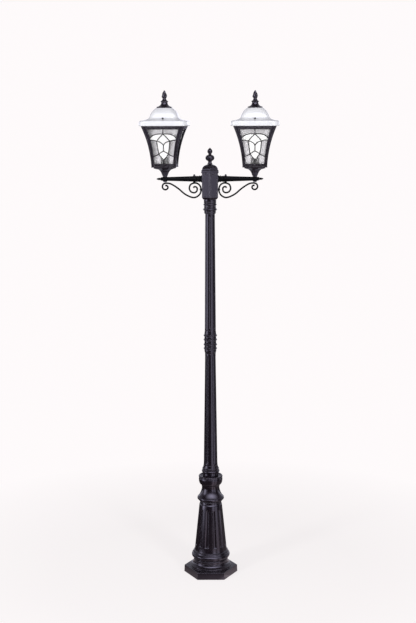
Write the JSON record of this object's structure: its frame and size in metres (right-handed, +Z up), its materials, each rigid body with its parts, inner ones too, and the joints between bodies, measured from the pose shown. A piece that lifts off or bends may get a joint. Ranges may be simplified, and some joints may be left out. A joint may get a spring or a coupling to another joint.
{
  "type": "street lamp post",
  "caption": "Classic garden lamp post: hexagonal plinth, fluted column, ringed pole, scrolled arms and flared four-sided lanterns with white roofs and leaded panes.",
  "frame": {"origin": "middle of the plinth's underside, on the ground", "axes": "+Z up the post; the arms run along X; the front, with a flat side of the plinth, faces -Y"},
  "size_m": [0.6806, 0.2414, 2.4467],
  "materials": {
    "black_paint": "satin black powder coat with a faint blue-violet cast, on cast aluminium",
    "black_steel": "semi-gloss black paint on bent steel",
    "white_paint": "gloss white enamel",
    "panel_glass": "hammered and clear cells",
    "opal_bulb": "opal white",
    "zinc_steel": "zinc-plated steel",
    "black_plastic": "moulded black plastic",
    "cable_jacket": "black cable jacket"
  },
  "bodies": {
    "post": {"base_plinth": "black_paint", "base_column": "black_paint", "base_bell": "black_paint", "neck_ring": "black_paint", "lower_pole": "black_paint", "middle_collar": "black_paint", "upper_pole": "black_paint", "top_collar": "black_paint", "hub_box": "black_paint", "hub_lid": "black_paint", "hub_finial": "black_paint", "tie_rod": "zinc_steel", "tie_nut": "zinc_steel", "supply_cable": "cable_jacket", "terminal_block": "black_plastic", "arm_left": "black_paint", "scroll_left": "black_steel", "scroll_clip_left": "black_steel", "arm_knob_left": "black_paint", "hub_screw_left": "black_paint", "arm_wire_left": "cable_jacket", "arm_right": "black_paint", "scroll_right": "black_steel", "scroll_clip_right": "black_steel", "arm_knob_right": "black_paint", "hub_screw_right": "black_paint", "arm_wire_right": "cable_jacket"},
    "lantern_left": {"lantern_base_left": "black_paint", "swivel_nut_left": "black_paint", "lantern_frame_left": "black_paint", "glass_front_left": "panel_glass", "glass_inner_left": "panel_glass", "glass_back_left": "panel_glass", "glass_outer_left": "panel_glass", "came_cage_left": "black_steel", "lampholder_left": "black_plastic"},
    "roof_assembly_left": {"roof_left": "white_paint", "roof_finial_left": "black_paint", "roof_screw_front_left": "black_paint", "roof_screw_back_left": "black_paint"},
    "lamp_left": {"bulb_left": "opal_bulb"},
    "lantern_right": {"lantern_base_right": "black_paint", "swivel_nut_right": "black_paint", "lantern_frame_right": "black_paint", "glass_front_right": "panel_glass", "glass_inner_right": "panel_glass", "glass_back_right": "panel_glass", "glass_outer_right": "panel_glass", "came_cage_right": "black_steel", "lampholder_right": "black_plastic"},
    "roof_assembly_right": {"roof_right": "white_paint", "roof_finial_right": "black_paint", "roof_screw_front_right": "black_paint", "roof_screw_back_right": "black_paint"},
    "lamp_right": {"bulb_right": "opal_bulb"}
  },
  "joints": [
    {"name": "left_lantern_swivel", "type": "hinge", "parent": "post", "child": "lantern_left", "pos_m": [-0.22, 0, 2.03], "axis": [0, 0, 1], "range_deg": [-45, 45]},
    {"name": "left_roof_lift", "type": "slide", "parent": "lantern_left", "child": "roof_assembly_left", "axis": [0, 0, 1], "range_m": [0, 0.12]},
    {"name": "left_bulb_lift", "type": "slide", "parent": "lantern_left", "child": "lamp_left", "axis": [0, 0, 1], "range_m": [0, 0.035]},
    {"name": "right_lantern_swivel", "type": "hinge", "parent": "post", "child": "lantern_right", "pos_m": [0.22, 0, 2.03], "axis": [0, 0, 1], "range_deg": [-45, 45]},
    {"name": "right_roof_lift", "type": "slide", "parent": "lantern_right", "child": "roof_assembly_right", "axis": [0, 0, 1], "range_m": [0, 0.12]},
    {"name": "right_bulb_lift", "type": "slide", "parent": "lantern_right", "child": "lamp_right", "axis": [0, 0, 1], "range_m": [0, 0.035]}
  ]
}
